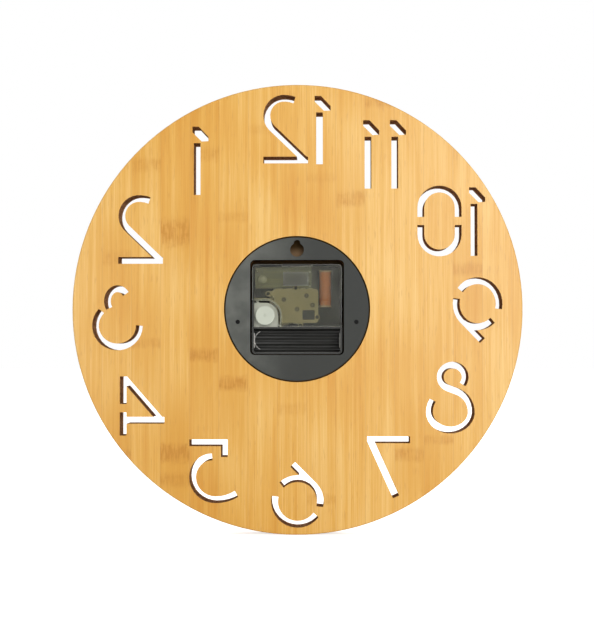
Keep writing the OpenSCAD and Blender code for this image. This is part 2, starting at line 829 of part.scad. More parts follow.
module hour_wheel() color("ivory") difference() {
    union() {
        layer(hour_s, gear_t)
            wheel2d(hour_teeth, hour_m, mesh(motion_leaves, 0, hour_teeth, motion_dir + 180));
        bar(centre, -hour_pipe_l, hour_pipe_l + hour_s + gear_t, hour_pipe_r);
    }
    bar(centre, -hour_pipe_l - over, hour_pipe_l + movement_d, hour_bore_r);
    layer(hour_s - over, gear_t + 2 * over) web_holes(4, hour_teeth, hour_m);
}

module setting_knob() color("white") {
    pivot_s = wall_t - pivot_depth + seat;
    difference() {
        union() {
            layer(motion_s, gear_t) translate(knob_p)
                pinion2d(knob_teeth, motion_m, mesh(motion_teeth, motion_phase, knob_teeth, knob_dir));
            bar(knob_p, pivot_s, motion_s + gear_t / 2 - pivot_s, knob_pivot_r);
            bar(knob_p, motion_s, knob_s + knob_t / 2 - motion_s, knob_shaft_r);
            layer(knob_s, knob_t) translate(knob_p) difference() {
                circle(knob_r);
                for (i = [1:knob_grips]) rotate(360 * i / knob_grips) translate([knob_r, 0])
                    circle(knob_grip_r);
            }
        }
        bar(knob_p, knob_s + knob_t - knob_dot_depth, knob_dot_depth + over, knob_dot_r);
    }
}

module coil_core() color("gray") layer(core_s, core_t)
    box2d(coil_x - core_w / 2, core_low, coil_x + core_w / 2, core_high);

// The stator lies on both ends of the core, rings the rotor and has a foot round a bridge post
module stator() color("gray") layer(core_s + core_t, stator_t) difference() {
    union() {
        translate(rotor_p) circle(ring_r);
        share_box2d(stator_foot_shares, bridge_window_r);
        box2d(coil_x - core_w / 2, core_low, rotor_p[0], core_low + stator_arm_w);
        box2d(rotor_p[0] - stator_arm_w, rotor_p[1], rotor_p[0], core_high);
        box2d(coil_x - core_w / 2, core_high - stator_arm_w, rotor_p[0], core_high);
    }
    translate(rotor_p) circle(magnet_r + stator_gap);
    for (p = bridge_posts) translate(p) circle(post_r + seat);
}

module coil_rod(low, l, r) {
    translate([coil_x, case_y + coil_s, low]) cylinder(h = l, r = r);
}

module coil_bobbin() color("tan") difference() {
    union() {
        coil_rod(coil_low, coil_l, bobbin_r);
        coil_rod(coil_low, flange_t, flange_r);
        coil_rod(coil_low + coil_l - flange_t, flange_t, flange_r);
    }
    layer(core_s - core_play, core_t + 2 * core_play)
        box2d(coil_x - core_w / 2 - core_play, coil_low - over,
            coil_x + core_w / 2 + core_play, coil_low + coil_l + over);
}

module coil_winding() color("peru") difference() {
    coil_rod(coil_low + flange_t, coil_l - 2 * flange_t, coil_r);
    coil_rod(coil_low, coil_l, bobbin_r);
}

module circuit_board() color("olivedrab") layer(pcb_s, pcb_t) difference() {
    box2d(pcb_left, pcb_low, pcb_right, pcb_high);
    for (p = bridge_posts) translate(p) circle(post_r + pcb_post_gap);
}

// A cast drop over the chip, cut off flat by the board
module driver_chip() color("black") {
    top_s = pcb_s + pcb_t;
    size = [pcb_right - pcb_left, pcb_high - pcb_low];
    p = [pcb_left + chip_place_shares[0] * size[0], pcb_low + chip_place_shares[1] * size[1]];
    difference() {
        translate([p[0], case_y + top_s + chip_h - chip_ball_r, p[1]]) sphere(chip_ball_r);
        layer(top_s - 2 * chip_ball_r, 2 * chip_ball_r) translate(p) circle(2 * chip_ball_r);
    }
}

module quartz_crystal() color("silver") {
    s = pcb_s + pcb_t + crystal_r;
    z = pcb_low + crystal_place_share * (pcb_high - pcb_low);
    translate([pcb_left + crystal_inset, case_y + s, z]) rotate([0, 90, 0])
        cylinder(h = crystal_l, r = crystal_r);
    for (lead_z = [z - crystal_r / 2, z + crystal_r / 2])
        translate([pcb_left + crystal_inset + crystal_l, case_y + s, lead_z]) rotate([0, 90, 0])
            cylinder(h = crystal_lead_l, r = crystal_lead_r);
}

module contact_plate(x) {
    translate([x, case_y + contact_s, bay_mid - contact_w / 2])
        cube([contact_t, contact_h, contact_w]);
}

module positive_contact() color("silver") {
    contact_plate(-contact_x - contact_t);
    translate([-contact_x, case_y + contact_s + contact_h / 2, bay_mid]) rotate([0, 90, 0])
        cylinder(h = contact_bump_h, r1 = contact_bump_r, r2 = contact_bump_top_r);
}

// The leaf spring is fixed to its plate in its middle and bends towards the cell at both ends
module negative_contact() color("silver") {
    c = [contact_x + leaf_t - leaf_r, bay_mid];
    inner_r = leaf_r - leaf_t;
    contact_plate(contact_x);
    layer(contact_s + (contact_h - leaf_h) / 2, leaf_h) polygon(concat(
        egg(c, leaf_r, leaf_r, leaf_r, leaf_r, -leaf_half_angle, leaf_half_angle),
        egg(c, inner_r, inner_r, inner_r, inner_r, leaf_half_angle, -leaf_half_angle)));
}

// A stamped hand that points up before it is turned to the time
module blade2d(root_w, tip_w, l) {
    polygon([[-root_w / 2, 0], [root_w / 2, 0], [tip_w / 2, l], [-tip_w / 2, l]]);
}

module hour_hand() color("black") slab(hour_hand_y, hand_t)
    rotate(-30 * (shown_hour + shown_minute / 60 + shown_second / 3600)) difference() {
        union() {
            circle(hub_r);
            blade2d(hour_root_w, hour_tip_w, hour_l);
        }
        circle(hour_pipe_r);
    }

module minute_hand() color("black") slab(minute_hand_y, hand_t)
    rotate(-6 * (shown_minute + shown_second / 60)) difference() {
        union() {
            circle(minute_hub_r);
            blade2d(minute_root_w, minute_tip_w, minute_l);
        }
        circle(minute_pipe_r);
    }

module second_hand() color("black") difference() {
    union() {
        slab(second_hand_y, hand_t) rotate(-6 * shown_second) {
            circle(second_hub_r);
            blade2d(second_root_w, second_tip_w, second_l);
            rotate(180) blade2d(second_root_w, second_tail_w, second_tail_l);
        }
        slab(second_hand_y - cap_t, cap_t) circle(cap_r);
    }
    slab(second_hand_y - seat, hand_t + over) circle(second_r);
}

dial_board();
back_plate();
plate_screws();
movement_case();
clear_cover();
gear_bridge();
threaded_bush();
rubber_washer();
dial_washer();
hex_nut();
stator();
coil_core();
coil_bobbin();
coil_winding();
circuit_board();
driver_chip();
quartz_crystal();
positive_contact();
negative_contact();
rotor_pinion();
rotor_magnet();
intermediate_wheel();
second_wheel();
third_wheel();
minute_wheel();
cannon_pinion();
motion_wheel();
hour_wheel();
setting_knob();
hour_hand();
minute_hand();
second_hand();
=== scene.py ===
# %% [markdown]
# # A bamboo wall clock, seen from behind
# The real clock is a round board of laminated bamboo with its hour figures cut right through it.
# A moulded plate sits in a recess in the back, and a battery movement sits in the plate's window.
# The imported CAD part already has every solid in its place. This script gives the solids their
# materials, adds the small forms that the CAD leaves out, and sets up camera and lamps.

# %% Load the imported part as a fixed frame
import math

import bmesh
import bpy
from mathutils import Matrix, Vector


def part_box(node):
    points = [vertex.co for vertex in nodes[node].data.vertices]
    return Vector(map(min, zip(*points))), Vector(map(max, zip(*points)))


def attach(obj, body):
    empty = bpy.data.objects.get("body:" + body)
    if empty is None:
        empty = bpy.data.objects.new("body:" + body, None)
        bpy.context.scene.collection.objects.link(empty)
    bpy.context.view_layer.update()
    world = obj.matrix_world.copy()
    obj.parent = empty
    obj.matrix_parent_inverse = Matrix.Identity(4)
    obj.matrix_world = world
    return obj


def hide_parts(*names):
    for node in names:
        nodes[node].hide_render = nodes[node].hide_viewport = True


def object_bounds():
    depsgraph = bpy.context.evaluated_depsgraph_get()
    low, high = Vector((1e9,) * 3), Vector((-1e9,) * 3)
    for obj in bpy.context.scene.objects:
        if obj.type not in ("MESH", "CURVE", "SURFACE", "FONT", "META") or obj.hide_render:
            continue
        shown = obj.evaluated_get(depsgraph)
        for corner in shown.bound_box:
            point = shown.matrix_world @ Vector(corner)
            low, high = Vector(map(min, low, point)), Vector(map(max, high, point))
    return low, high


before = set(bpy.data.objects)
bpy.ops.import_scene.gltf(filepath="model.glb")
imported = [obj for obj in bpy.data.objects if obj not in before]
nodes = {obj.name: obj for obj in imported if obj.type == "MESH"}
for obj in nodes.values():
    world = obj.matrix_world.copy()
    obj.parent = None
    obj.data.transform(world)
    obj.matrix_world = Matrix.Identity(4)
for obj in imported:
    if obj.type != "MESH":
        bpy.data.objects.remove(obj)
cad_box = [list(corner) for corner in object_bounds()]
print("CAD box in metres:", cad_box)

# %% [markdown]
# ## Camera
# The picture looks almost straight at the clock's back from about a metre away. The walls of the
# cut figures show which way the camera is off the axis: a little low and, as seen from behind, a
# little to the right. A long lens at that place gives the same narrow dark walls.

# %% Place the camera behind the clock
MM = 0.001
LENS_MM = 91.3
SENSOR_MM = 36
camera_place = Vector((-15.3, 974, -24.9)) * MM

camera_data = bpy.data.cameras.new("back_camera")
camera_data.lens = LENS_MM
camera_data.sensor_width = SENSOR_MM
camera = bpy.data.objects.new("back_camera", camera_data)
camera.location = camera_place
camera.rotation_euler = (-camera_place).to_track_quat("-Z", "Y").to_euler()
bpy.context.scene.collection.objects.link(camera)
bpy.context.scene.camera = camera
print("Camera at", tuple(camera.location), "with a lens of", camera_data.lens, "mm")

# %% [markdown]
# ## Shader helpers
# Every material below is a small node tree. Adding nodes one by one takes many lines, so one
# helper adds a node, sets its options and either fills or links its inputs. Others make a Math
# node, a smooth ramp, a mix of two colours, a node group and a material.


# %% Helpers that add shader nodes
def add_node(tree, kind, inputs=None, **options):
    """Adds a node. Each input, by name or number, gets a value or the socket that feeds it."""
    made = tree.nodes.new("ShaderNode" + kind)
    for option, value in options.items():
        setattr(made, option, value)
    for key, value in (inputs or {}).items():
        if isinstance(value, bpy.types.NodeSocket):
            tree.links.new(value, made.inputs[key])
        else:
            made.inputs[key].default_value = value
    return made


def calc(tree, operation, *values):
    """A Math node's result."""
    return add_node(tree, "Math", dict(enumerate(values)), operation=operation).outputs[0]


def ramp(tree, value, low, high, to_low=0.0, to_high=1.0):
    """A smooth rise from to_low to to_high while value goes from low to high."""
    inputs = {"Value": value, "From Min": low, "From Max": high,
              "To Min": to_low, "To Max": to_high}
    return add_node(tree, "MapRange", inputs, interpolation_type="SMOOTHSTEP").outputs[0]


def mix_colour(tree, share, first, second):
    """The first colour, or as much of the second as the share says."""
    return add_node(tree, "Mix", {0: share, 6: first, 7: second}, data_type="RGBA").outputs[2]


def rgb(red, green, blue):
    """A colour with full alpha, as sockets want it."""
    return (red, green, blue, 1.0)


def new_group(name, inputs, outputs):
    """An empty node group. Returns its tree, what it is given and what it has to make."""
    tree = bpy.data.node_groups.new(name, "ShaderNodeTree")
    for label, kind, value in inputs:
        made = tree.interface.new_socket(label, in_out="INPUT", socket_type="NodeSocket" + kind)
        if value is not None:
            made.default_value = value
    for label, kind in outputs:
        tree.interface.new_socket(label, in_out="OUTPUT", socket_type="NodeSocket" + kind)
    return tree, tree.nodes.new("NodeGroupInput").outputs, tree.nodes.new("NodeGroupOutput").inputs


def use_group(tree, group, inputs):
    """Places a node group in a tree and returns its outputs."""
    made = tree.nodes.new("ShaderNodeGroup")
    made.node_tree = group
    for key, value in inputs.items():
        if isinstance(value, bpy.types.NodeSocket):
            tree.links.new(value, made.inputs[key])
        else:
            made.inputs[key].default_value = value
    return made.outputs


def new_material(name, **shader):
    """A material with one Principled shader, and the Object coordinates for its textures."""
    material = bpy.data.materials.new(name)
    material.use_nodes = True
    tree = material.node_tree
    principled = tree.nodes["Principled BSDF"]
    for key, value in shader.items():
        principled.inputs[key.replace("_", " ")].default_value = value
    place = add_node(tree, "TexCoord").outputs["Object"]
    return material, tree, principled, place


def dress(node_name, material):
    """Gives a CAD node its material."""
    slots = nodes[node_name].data.materials
    slots.clear()
    slots.append(material)


# %% [markdown]
# ## Bamboo
# The board is glued up from bamboo strips about 18 mm wide that stand upright. Each strip has its
# own tone, long thin fibres and, every 100 to 140 mm, a darker band where the cane had a joint.
# One noise pattern can't give all of this. The strip number comes from the place across the board,
# the fibres from a noise that is stretched along the strip, and each joint of the cane from a
# group that marks a ragged band on one strip, with a faint warm halo along it. The joints' places
# follow the clock's back. The dial side has the same sheet, turned half round, so that no joint
# repeats behind itself.

# %% The group that marks one cane joint on one strip
STRIP_W = 18.2
FIRST_STRIP_X = 85.0
STRIP_SHIFT = 7.31

cane_joint, given, made = new_group(
    "Cane Joint",
    [("Strip", "Float", 0.0), ("Height", "Float", 0.0), ("Ragged", "Float", 0.5),
     ("On Strip", "Float", 0.0), ("At Height", "Float", 0.0), ("Half Height", "Float", 6.0),
     ("Strength", "Float", 1.0)],
    [("Mask", "Float"), ("Halo", "Float")],
)
same_strip = calc(cane_joint, "COMPARE", given["Strip"], given["On Strip"], 0.5)
offset = calc(cane_joint, "SUBTRACT", given["Height"], given["At Height"])
distance = calc(cane_joint, "ABSOLUTE", offset)
on_strip = calc(cane_joint, "MULTIPLY", same_strip, given["Strength"])
share = calc(cane_joint, "DIVIDE", distance, given["Half Height"])
ragged_share = calc(cane_joint, "MULTIPLY_ADD", given["Ragged"], 0.9, share)
mask = calc(cane_joint, "MULTIPLY", on_strip, ramp(cane_joint, ragged_share, 2.05, 0.75))
halo = calc(cane_joint, "MULTIPLY", on_strip, ramp(cane_joint, distance, 48, 8))
cane_joint.links.new(mask, made["Mask"])
cane_joint.links.new(halo, made["Halo"])
print(cane_joint.name, "has", len(cane_joint.nodes), "nodes")

# %% The group that draws fibres along the strips
bamboo_fibre, given, made = new_group(
    "Bamboo Fibre",
    [("Across", "Float", 0.0), ("Depth", "Float", 0.0), ("Along", "Float", 0.0),
     ("Strip", "Float", 0.0)],
    [("Fine", "Float"), ("Broad", "Float"), ("Patch", "Float"), ("Fleck", "Float"),
     ("Ragged", "Float")],
)


def stretched_noise(tree, across, depth, along, stretch, scale, detail, strip):
    """Noise that is drawn out along the fibres, and starts anew on each strip."""
    shifted = calc(tree, "MULTIPLY_ADD", along, stretch, calc(tree, "MULTIPLY", strip, STRIP_SHIFT))
    place = add_node(tree, "CombineXYZ", {0: across, 1: depth, 2: shifted}).outputs[0]
    inputs = {"Vector": place, "Scale": scale, "Detail": detail, "Roughness": 0.6}
    return add_node(tree, "TexNoise", inputs).outputs["Fac"]


parts = [given["Across"], given["Depth"], given["Along"]]
# label, stretch, scale and detail of each pattern
for label, stretch, scale, detail in (
        ("Fine", 0.012, 1.5, 3.0), ("Broad", 0.02, 0.24, 2.0), ("Patch", 0.6, 0.02, 1.0),
        ("Fleck", 0.09, 1.0, 1.0), ("Ragged", 1.1, 0.22, 3.0)):
    value = stretched_noise(bamboo_fibre, *parts, stretch, scale, detail, given["Strip"])
    bamboo_fibre.links.new(value, made[label])
print(bamboo_fibre.name, "has", len(bamboo_fibre.nodes), "nodes")

# %% The bamboo material
# strip number, height in mm, half height in mm and strength of each cane joint
CANE_JOINTS = (
    (0, 47.8, 7.5, 1.0), (0, -89.6, 5.0, 1.2), (0, -106.0, 4.0, 0.6), (1, 97.0, 4.5, 0.5),
    (1, -28.5, 3.6, 1.0), (2, 57.4, 3.0, 0.35), (2, -46.2, 4.0, 0.9), (6, 68.7, 4.5, 0.6),
    (7, 128.9, 3.0, 0.6), (8, -90.2, 3.8, 0.7), (9, -81.0, 2.6, 0.6), (10, 24.4, 3.6, 0.7),
    (-1, 90.0, 4.0, 0.5), (-1, -20.9, 2.8, 0.5), (-2, 32.0, 4.0, 0.4), (-2, -90.6, 3.2, 0.7),
    (3, 112.0, 3.0, 0.3), (4, -62.0, 3.6, 0.3), (5, -118.0, 3.0, 0.4), (5, 82.0, 3.0, 0.25),
)
TONE_SEED = 3309
# sizes and places in mm
BOARD_R = 140
BOARD_T = 19
FACE_PLY = 5.5
POCKET_R = 46
PLATE_EDGE_R = 44.8
KEYHOLE_Z = 31
KEYHOLE_SHADOW_LOW_Z = 33
KEYHOLE_SHADOW_HIGH_Z = 40
PALE_EDGE_X = (106, 124)

bamboo, tree, principled, place = new_material(
    "bamboo", Specular_IOR_Level=0.1, Coat_Roughness=0.3)
in_mm = add_node(tree, "VectorMath", {0: place, 1: (1 / MM, 1 / MM, 1 / MM)},
                 operation="MULTIPLY").outputs[0]
x, y, z = add_node(tree, "SeparateXYZ", {0: in_mm}).outputs

# the dial side's half turn is a factor of -1
turned = ramp(tree, y, -BOARD_T / 2 + 0.01, -BOARD_T / 2 - 0.01, 1, -1)
across = calc(tree, "MULTIPLY", x, turned)
along = calc(tree, "MULTIPLY", z, turned)
steps = calc(tree, "DIVIDE", calc(tree, "SUBTRACT", FIRST_STRIP_X, across), STRIP_W)
strip = calc(tree, "FLOOR", steps)
in_strip = calc(tree, "FRACT", steps)
fibre = use_group(tree, bamboo_fibre, {
    "Across": across, "Depth": y, "Along": along, "Strip": strip})

# tone of each strip, of patches along it, and of its fibres
seeded = calc(tree, "ADD", strip, TONE_SEED)
tone = add_node(tree, "TexWhiteNoise", {"W": seeded}, noise_dimensions="1D").outputs["Value"]
shade = calc(tree, "MULTIPLY_ADD", fibre["Fine"], 0.5, calc(tree, "MULTIPLY", fibre["Broad"], 0.5))
shade = calc(tree, "MULTIPLY_ADD", fibre["Patch"], 0.5, shade)
shade = calc(tree, "MULTIPLY_ADD", tone, 0.16, shade)
shade = calc(tree, "ADD", shade, ramp(tree, across, *PALE_EDGE_X, 0.0, 0.10))
colours = add_node(tree, "ValToRGB", {0: shade})
colours.color_ramp.elements[0].position = 0.61
colours.color_ramp.elements[0].color = rgb(0.62, 0.275, 0.018)
colours.color_ramp.elements[1].position = 0.99
colours.color_ramp.elements[1].color = rgb(0.79, 0.49, 0.14)
middle = colours.color_ramp.elements.new(0.80)
middle.color = rgb(0.70, 0.37, 0.055)
flecks = ramp(tree, fibre["Fleck"], 0.60, 0.72, 0.0, 0.35)
wood = mix_colour(tree, flecks, colours.outputs[0], rgb(0.50, 0.22, 0.035))

# the darker cane joints
joints = halo = 0.0
for number, height, half_height, strength in CANE_JOINTS:
    marks = use_group(tree, cane_joint, {
        "Strip": strip, "Height": along, "Ragged": fibre["Ragged"], "On Strip": number,
        "At Height": height, "Half Height": half_height, "Strength": strength})
    joints = calc(tree, "ADD", joints, marks["Mask"])
    halo = calc(tree, "MAXIMUM", halo, marks["Halo"])
colour = mix_colour(tree, calc(tree, "MULTIPLY", halo, 0.4), wood, rgb(0.62, 0.285, 0.012))
mottle = ramp(tree, fibre["Fleck"], 0.38, 0.6, 0.3, 0.9)
speck = ramp(tree, fibre["Ragged"], 0.36, 0.52, 0.3, 0.0)
joints = calc(tree, "MULTIPLY", joints, calc(tree, "ADD", mottle, speck))
colour = mix_colour(tree, joints, colour, rgb(0.52, 0.215, 0.004))

# thin glue lines between the strips
from_line = calc(tree, "MULTIPLY", calc(tree, "PINGPONG", in_strip, 0.5), STRIP_W)
glue = ramp(tree, from_line, 0.35, 0.05, 0.0, 0.35)
colour = mix_colour(tree, glue, colour, rgb(0.5, 0.24, 0.05))

# walls of the cuts, which the laser has charred
normal = add_node(tree, "SeparateXYZ", {0: add_node(tree, "NewGeometry").outputs["Normal"]}).outputs
wall = ramp(tree, calc(tree, "ABSOLUTE", normal[1]), 0.6, 0.3)
flat_place = add_node(tree, "CombineXYZ", {0: x, 2: z}).outputs[0]
radius = add_node(tree, "VectorMath", {0: flat_place}, operation="LENGTH").outputs["Value"]
inner = ramp(tree, radius, BOARD_R - 0.7, BOARD_R - 1.2)
charred = calc(tree, "MULTIPLY", wall, inner)
soot = add_node(tree, "TexNoise", {"Vector": in_mm, "Scale": 0.6, "Detail": 3.0}).outputs["Fac"]
char_colour = mix_colour(tree, ramp(tree, soot, 0.35, 0.7),
                         rgb(0.22, 0.085, 0.028), rgb(0.62, 0.32, 0.12))

# the recess that the cutter made: its wood is toasted, and painted shade makes it darker the deeper
# it goes; the wood behind the keyhole carries a painted shadow
# painted shade: the share of the dark recess colour grows with depth
routed_and_shaded = calc(tree, "MULTIPLY", ramp(tree, y, -0.5, -6, 0, 0.95),
              ramp(tree, radius, POCKET_R + 1, POCKET_R))
routed_and_shaded = calc(tree, "MULTIPLY", routed_and_shaded, ramp(tree, y, -BOARD_T + 0.5, -BOARD_T + 1))
# painted shadow: behind the keyhole the wood is painted dark towards its top, where the plate's
# edge shades it
behind_keyhole = calc(tree, "MULTIPLY", ramp(tree, z, KEYHOLE_Z, KEYHOLE_Z + 1),
                      ramp(tree, radius, PLATE_EDGE_R, PLATE_EDGE_R - 0.6))
painted_keyhole_shadow = mix_colour(tree, ramp(tree, z, KEYHOLE_SHADOW_LOW_Z, KEYHOLE_SHADOW_HIGH_Z),
                     rgb(0.21, 0.135, 0.08), rgb(0.008, 0.004, 0.003))
recess_toast_and_shadow = mix_colour(tree, behind_keyhole, rgb(0.13, 0.065, 0.028), painted_keyhole_shadow)
# painted shade: below 8 mm deep the recess is painted nearly black
deep_painted_shade = mix_colour(tree, ramp(tree, y, -8, -12), recess_toast_and_shadow, rgb(0.016, 0.008, 0.005))
colour = mix_colour(tree, routed_and_shaded, colour, deep_painted_shade)
colour = mix_colour(tree, charred, colour, char_colour)

# the rim shows the three layers that the board is glued from
from_middle = calc(tree, "ABSOLUTE", calc(tree, "ADD", y, BOARD_T / 2))
from_glue = calc(tree, "ABSOLUTE", calc(tree, "SUBTRACT", from_middle, BOARD_T / 2 - FACE_PLY))
layer_line = calc(tree, "MULTIPLY", ramp(tree, from_glue, 0.25, 0.05, 0.0, 0.5), wall)
colour = mix_colour(tree, layer_line, colour, rgb(0.42, 0.2, 0.05))

# a satin varnish on the sanded faces and rim, none where the wood was cut
tree.links.new(colour, principled.inputs["Base Color"])
satin = ramp(tree, fibre["Fine"], 0.3, 0.7, 0.52, 0.4)
bare = calc(tree, "MAXIMUM", charred, routed_and_shaded)
rough = add_node(tree, "Mix", {0: bare, 2: satin, 3: 1.0}).outputs[0]
tree.links.new(rough, principled.inputs["Roughness"])
tree.links.new(ramp(tree, bare, 0, 1, 0.9, 0), principled.inputs["Coat Weight"])
bump = add_node(tree, "Bump", {"Height": fibre["Fine"], "Distance": 0.06 * MM, "Strength": 0.5})
tree.links.new(bump.outputs[0], principled.inputs["Normal"])
dress("dial_board", bamboo)
print("Bamboo: strips of", STRIP_W, "mm and", len(CANE_JOINTS), "cane joints")

# %% [markdown]
# ## Moulded plastic, sheet metal and enamel
# Most of the small pieces are moulded plastic. The mould leaves a fine spark-eroded grain, and
# handling leaves faint cloudy patches. One group gives both: a slow noise mixes two close colours
# and moves the roughness, and a fast one becomes a bump. The same group with other values serves
# metal and rubber, so it is built once and placed in each material with its own numbers.

# %% The group for moulded and rolled surfaces
moulded_skin, given, made = new_group(
    "Moulded Skin",
    [("Place", "Vector", None), ("Colour", "Color", rgb(0.5, 0.5, 0.5)),
     ("Cloud Colour", "Color", rgb(0.5, 0.5, 0.5)), ("Cloud Scale", "Float", 60.0),
     ("Grain Scale", "Float", 2500.0), ("Smooth", "Float", 0.4), ("Rough", "Float", 0.6),
     ("Depth", "Float", 0.02 * MM)],
    [("Colour", "Color"), ("Roughness", "Float"), ("Normal", "Vector")],
)
cloud = add_node(moulded_skin, "TexNoise", {
    "Vector": given["Place"], "Scale": given["Cloud Scale"], "Detail": 4.0}).outputs["Fac"]
cloud = ramp(moulded_skin, cloud, 0.3, 0.7)
grain = add_node(moulded_skin, "TexNoise", {
    "Vector": given["Place"], "Scale": given["Grain Scale"], "Detail": 2.0}).outputs["Fac"]
mixed = mix_colour(moulded_skin, cloud, given["Colour"], given["Cloud Colour"])
spread = calc(moulded_skin, "SUBTRACT", given["Rough"], given["Smooth"])
roughness = calc(moulded_skin, "MULTIPLY_ADD", cloud, spread, given["Smooth"])
skin_bump = add_node(moulded_skin, "Bump", {
    "Height": grain, "Distance": given["Depth"], "Strength": 1.0})
moulded_skin.links.new(mixed, made["Colour"])
moulded_skin.links.new(roughness, made["Roughness"])
moulded_skin.links.new(skin_bump.outputs[0], made["Normal"])
print(moulded_skin.name, "has", len(moulded_skin.nodes), "nodes")


def skinned(name, colour, cloud_colour, smooth, rough, cloud_scale=60.0, grain_scale=2500.0,
            depth=0.02 * MM, stretch=(1, 1, 1), **shader):
    """A material that uses the group. A stretch turns its grain into brush or rolling marks."""
    material, tree, principled, place = new_material(name, **shader)
    place = add_node(tree, "Mapping", {"Vector": place, "Scale": stretch}).outputs[0]
    skin = use_group(tree, moulded_skin, {
        "Place": place, "Colour": rgb(*colour), "Cloud Colour": rgb(*cloud_colour),
        "Cloud Scale": cloud_scale, "Grain Scale": grain_scale, "Smooth": smooth, "Rough": rough,
        "Depth": depth})
    tree.links.new(skin["Colour"], principled.inputs["Base Color"])
    tree.links.new(skin["Roughness"], principled.inputs["Roughness"])
    tree.links.new(skin["Normal"], principled.inputs["Normal"])
    return material


# %% [markdown]
# ## Worn edges with a painted highlight
# Handling rubs the edges of dark plastic pale, and their paler colour is also a painted highlight
# where a rounded edge would catch the light. The moulded rim of the clear cover is frosted.
# The Bevel node gives the normal that a rounded edge would have. Where it leans away from the real
# normal there is an edge, so one small group turns that into a mask for both finishes.

# %% The group that finds the edges of a piece
edge_mask, given, made = new_group(
    "Edge Mask", [("Width", "Float", 0.5 * MM)], [("Mask", "Float")])
rounded = add_node(edge_mask, "Bevel", {"Radius": given["Width"]}, samples=6).outputs[0]
true_normal = add_node(edge_mask, "NewGeometry").outputs["Normal"]
lean = add_node(edge_mask, "VectorMath", {0: rounded, 1: true_normal}, operation="DOT_PRODUCT")
edge_mask.links.new(ramp(edge_mask, lean.outputs["Value"], 0.985, 0.88), made["Mask"])
print(edge_mask.name, "has", len(edge_mask.nodes), "nodes")

# %% [markdown]
# ## One finish for each of the remaining materials
# The values are close to what such pieces have: dark filled plastic for plate and case, acetal for
# the wheels, nickel-plated spring steel for the contacts, enamelled copper for the coil. Metal is
# stretched along one axis, so that its grain becomes brush marks.

# %% The finishes and the nodes that carry them
plate_plastic = skinned("plate_plastic", (0.015, 0.017, 0.014), (0.026, 0.028, 0.024), 0.5, 0.6,
                        cloud_scale=22.0, Specular_IOR_Level=0.38)
case_plastic = skinned("case_plastic", (0.010, 0.010, 0.008), (0.015, 0.015, 0.012), 0.3, 0.42,
                       Specular_IOR_Level=0.26)
cream_plastic = skinned("cream_plastic", (0.30, 0.255, 0.14), (0.35, 0.295, 0.165), 0.4, 0.5)
gear_plastic = skinned("gear_plastic", (0.66, 0.60, 0.42), (0.72, 0.66, 0.48), 0.35, 0.45)
bobbin_plastic = skinned("bobbin_plastic", (0.42, 0.30, 0.18), (0.48, 0.35, 0.22), 0.4, 0.5)
knob_plastic = skinned("knob_plastic", (0.43, 0.46, 0.38), (0.48, 0.51, 0.42), 0.3, 0.4)
rubber = skinned("rubber", (0.02, 0.02, 0.02), (0.03, 0.03, 0.03), 0.7, 0.85, depth=0.04 * MM)
hand_enamel = skinned("hand_enamel", (0.012, 0.012, 0.012), (0.016, 0.016, 0.016), 0.32, 0.4)
screw_steel = skinned("screw_steel", (0.008, 0.008, 0.008), (0.014, 0.014, 0.014), 0.5, 0.6,
                      Specular_IOR_Level=0.08)
nickel = skinned("nickel", (0.28, 0.27, 0.25), (0.36, 0.35, 0.33), 0.32, 0.45,
                 stretch=(1, 0.08, 1), Metallic=1.0)
dull_nickel = skinned("dull_nickel", (0.11, 0.11, 0.10), (0.16, 0.155, 0.145), 0.45, 0.6,
                      stretch=(1, 0.08, 1), Metallic=1.0)
brass = skinned("brass", (0.72, 0.52, 0.22), (0.78, 0.58, 0.27), 0.25, 0.4,
                stretch=(1, 0.08, 1), Metallic=1.0)
core_iron = skinned("core_iron", (0.02, 0.02, 0.018), (0.032, 0.032, 0.03), 0.4, 0.6,
                    stretch=(1, 1, 0.08), Metallic=0.3)
magnet_grey = skinned("magnet_grey", (0.07, 0.07, 0.07), (0.10, 0.10, 0.10), 0.5, 0.65)
copper_enamel = skinned("copper_enamel", (0.54, 0.18, 0.055), (0.62, 0.22, 0.075), 0.25, 0.4,
                        grain_scale=1200.0, Coat_Weight=0.4)
circuit_laminate = skinned("circuit_laminate", (0.135, 0.135, 0.092), (0.18, 0.18, 0.125),
                           0.4, 0.55)
bearing_plastic = skinned("bearing_plastic", (0.085, 0.075, 0.045), (0.12, 0.105, 0.065), 0.4, 0.5)
covered_track = skinned("covered_track", (0.22, 0.20, 0.11), (0.26, 0.23, 0.13), 0.35, 0.5)
chip_epoxy = skinned("chip_epoxy", (0.34, 0.34, 0.28), (0.42, 0.42, 0.35), 0.2, 0.32)
solder = skinned("solder", (0.55, 0.55, 0.55), (0.65, 0.65, 0.64), 0.25, 0.4, Metallic=1.0)

FINISHES = {
    plate_plastic: ["back_plate"],
    case_plastic: ["movement_case"],
    cream_plastic: ["gear_bridge"],
    gear_plastic: ["rotor_pinion", "intermediate_wheel", "second_wheel", "third_wheel",
                   "minute_wheel", "cannon_pinion", "motion_wheel", "hour_wheel"],
    bobbin_plastic: ["coil_bobbin"],
    knob_plastic: ["setting_knob"],
    rubber: ["rubber_washer"],
    hand_enamel: ["hour_hand", "minute_hand", "second_hand"],
    screw_steel: ["plate_screws"],
    nickel: ["negative_contact", "quartz_crystal", "dial_washer"],
    dull_nickel: ["positive_contact"],
    brass: ["threaded_bush", "hex_nut"],
    core_iron: ["stator", "coil_core"],
    magnet_grey: ["rotor_magnet"],
    copper_enamel: ["coil_winding"],
    circuit_laminate: ["circuit_board"],
    chip_epoxy: ["driver_chip"],
}
# painted sheen colour for the plate's left
PLATE_SHEEN_COLOUR = rgb(0.105, 0.11, 0.096)
# paler grey of the floor under the knob, partly painted light
PALE_AND_LIT_FLOOR = rgb(0.49, 0.50, 0.41)
